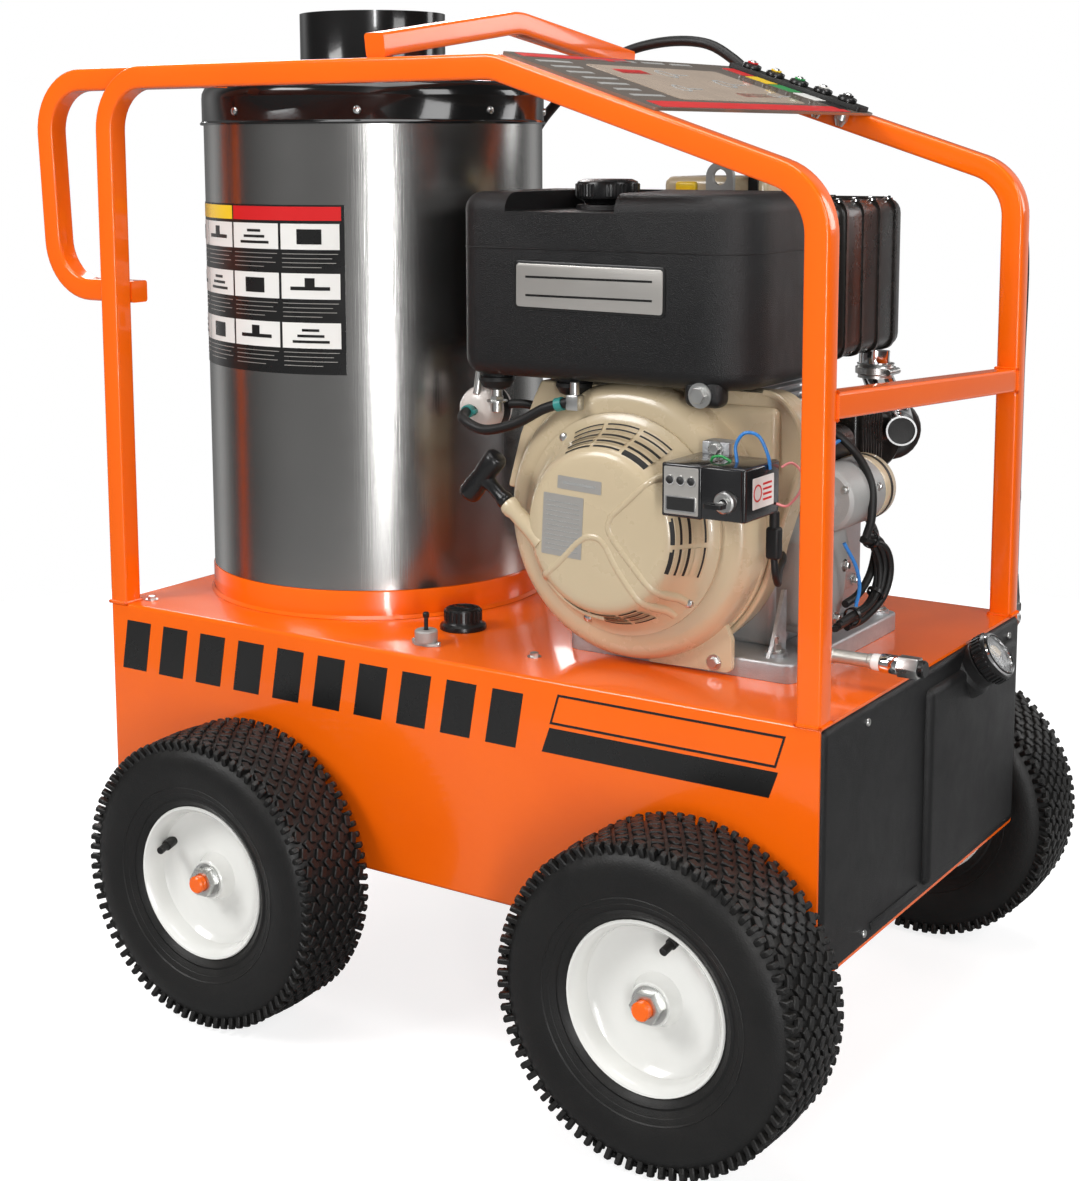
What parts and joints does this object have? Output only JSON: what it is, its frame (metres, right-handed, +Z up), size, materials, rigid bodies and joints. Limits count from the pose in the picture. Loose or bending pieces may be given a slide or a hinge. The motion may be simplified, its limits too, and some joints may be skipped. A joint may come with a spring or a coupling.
{
  "type": "pressure washer",
  "caption": "Wheeled hot-water pressure washer: engine with recoil starter, vertical coil burner with stack, tube frame with push handles, fuel tank and nozzle panel.",
  "frame": {"origin": "centre of the footprint on the floor under the tyres", "axes": "+X along the machine from the push handles towards the fuel-tank end, +Y from the starter side towards the pump side, +Z up"},
  "size_m": [1.105, 0.782, 1.119],
  "materials": {
    "orange_paint": "gloss",
    "brushed_stainless": "brushed",
    "black_paint": "satin",
    "tan_paint": "satin",
    "white_paint": "gloss",
    "tyre_rubber": "matte",
    "cast_alloy": "cast",
    "zinc_steel": "satin",
    "chrome_plate": "polished",
    "dark_iron": "machined",
    "black_plastic": "textured",
    "black_rubber": "matte",
    "white_plastic": "translucent",
    "panel_print": "satin",
    "nozzle_red": "gloss",
    "nozzle_yellow": "gloss",
    "nozzle_green": "gloss",
    "nozzle_white": "gloss",
    "nozzle_black": "gloss"
  },
  "bodies": {
    "machine": {"deck": "orange_paint", "chassis_pan": "orange_paint", "side_frame_front": "orange_paint", "side_frame_back": "orange_paint", "push_handle_front": "orange_paint", "push_handle_back": "orange_paint", "cross_bar": "orange_paint", "lifting_bar": "orange_paint", "burner_base_ring": "orange_paint", "burner_shell": "brushed_stainless", "burner_lid": "black_paint", "stack_collar": "black_paint", "muffler": "black_paint", "pump": "black_paint", "burner_blower": "black_paint", "blower_housing": "tan_paint", "fan_shroud": "tan_paint", "recoil_cover": "tan_paint", "air_cleaner": "tan_paint", "engine_crankcase": "cast_alloy", "axle_front": "zinc_steel", "axle_rear": "zinc_steel", "starter_motor": "zinc_steel", "drain_pipe": "zinc_steel", "lifting_eye": "zinc_steel", "level_gauge": "zinc_steel", "exhaust_pipe": "chrome_plate", "heating_coil": "dark_iron", "engine_fuel_tank": "black_plastic", "fuel_tank": "black_plastic", "control_box": "black_plastic", "battery": "black_plastic", "nozzle_holder": "black_rubber", "pressure_hose": "black_rubber", "fuel_hose": "black_rubber", "wiring_harness": "black_rubber", "fuel_filter": "white_plastic", "instruction_panel": "panel_print"},
    "wheel_front_left": {"rim_front_left": "white_paint", "tyre_front_left": "tyre_rubber"},
    "wheel_front_right": {"rim_front_right": "white_paint", "tyre_front_right": "tyre_rubber"},
    "wheel_rear_left": {"rim_rear_left": "white_paint", "tyre_rear_left": "tyre_rubber"},
    "wheel_rear_right": {"rim_rear_right": "white_paint", "tyre_rear_right": "tyre_rubber"},
    "grip": {"starter_grip": "black_plastic"},
    "pulley": {"recoil_pulley": "black_plastic"},
    "crank": {"crankshaft": "zinc_steel", "flywheel": "dark_iron"},
    "key": {"ignition_key": "zinc_steel"},
    "engine_cap": {"engine_tank_cap": "black_plastic"},
    "tank_cap": {"fuel_tank_cap": "black_plastic"},
    "filler_cap": {"deck_cap": "black_plastic"},
    "gauge_stem": {"gauge_rod": "black_plastic"},
    "tip_1": {"nozzle_1": "nozzle_red"},
    "tip_2": {"nozzle_2": "nozzle_yellow"},
    "tip_3": {"nozzle_3": "nozzle_green"},
    "tip_4": {"nozzle_4": "nozzle_white"},
    "tip_5": {"nozzle_5": "nozzle_black"}
  },
  "joints": [
    {"name": "wheel_front_left_spin", "type": "hinge", "parent": "machine", "child": "wheel_front_left", "pos_m": [0.37647, -0.335, 0.165], "axis": [0, 1, 0], "continuous": true},
    {"name": "wheel_front_right_spin", "type": "hinge", "parent": "machine", "child": "wheel_front_right", "pos_m": [0.37647, 0.335, 0.165], "axis": [0, 1, 0], "continuous": true},
    {"name": "wheel_rear_left_spin", "type": "hinge", "parent": "machine", "child": "wheel_rear_left", "pos_m": [-0.18453, -0.335, 0.165], "axis": [0, 1, 0], "continuous": true},
    {"name": "wheel_rear_right_spin", "type": "hinge", "parent": "machine", "child": "wheel_rear_right", "pos_m": [-0.18453, 0.335, 0.165], "axis": [0, 1, 0], "continuous": true},
    {"name": "starter_pull", "type": "slide", "parent": "machine", "child": "grip", "axis": [-0.7694, 0, 0.6388], "range_m": [0, 0.45], "stiffness_N_per_m": 20, "springref_m": -0.05},
    {"name": "pulley_turn", "type": "hinge", "parent": "machine", "child": "pulley", "pos_m": [0.23447, -0.2215, 0.5775], "axis": [0, 1, 0], "range_deg": [0, 425]},
    {"name": "crank_spin", "type": "hinge", "parent": "machine", "child": "crank", "pos_m": [0.23447, 0, 0.5775], "axis": [0, 1, 0], "continuous": true},
    {"name": "key_turn", "type": "hinge", "parent": "machine", "child": "key", "pos_m": [0.40247, -0.273, 0.632], "axis": [0, 1, 0], "range_deg": [0, 90]},
    {"name": "engine_cap_turn", "type": "hinge", "parent": "machine", "child": "engine_cap", "pos_m": [0.16947, -0.105, 0.9023], "axis": [0, 0, 1], "range_deg": [0, 90]},
    {"name": "tank_cap_turn", "type": "hinge", "parent": "machine", "child": "tank_cap", "pos_m": [0.51935, 0.105, 0.40747], "axis": [0.8192, 0, 0.5736], "range_deg": [0, 360]},
    {"name": "deck_cap_turn", "type": "hinge", "parent": "machine", "child": "filler_cap", "pos_m": [0.00347, -0.142, 0.4273], "axis": [0, 0, 1], "range_deg": [0, 360]},
    {"name": "gauge_rise", "type": "slide", "parent": "machine", "child": "gauge_stem", "axis": [0, 0, 1], "range_m": [0, 0.01]},
    {"name": "nozzle_1_pull", "type": "slide", "parent": "machine", "child": "tip_1", "axis": [0.3108, 0, 0.9505], "range_m": [0, 0.035]},
    {"name": "nozzle_2_pull", "type": "slide", "parent": "machine", "child": "tip_2", "axis": [0.3108, 0, 0.9505], "range_m": [0, 0.035]},
    {"name": "nozzle_3_pull", "type": "slide", "parent": "machine", "child": "tip_3", "axis": [0.3108, 0, 0.9505], "range_m": [0, 0.035]},
    {"name": "nozzle_4_pull", "type": "slide", "parent": "machine", "child": "tip_4", "axis": [0.3108, 0, 0.9505], "range_m": [0, 0.035]},
    {"name": "nozzle_5_pull", "type": "slide", "parent": "machine", "child": "tip_5", "axis": [0.3108, 0, 0.9505], "range_m": [0, 0.035]}
  ],
  "couplings": [
    {"joint": "pulley_turn", "follows": "starter_pull", "rad_per_m": 16.393}
  ]
}
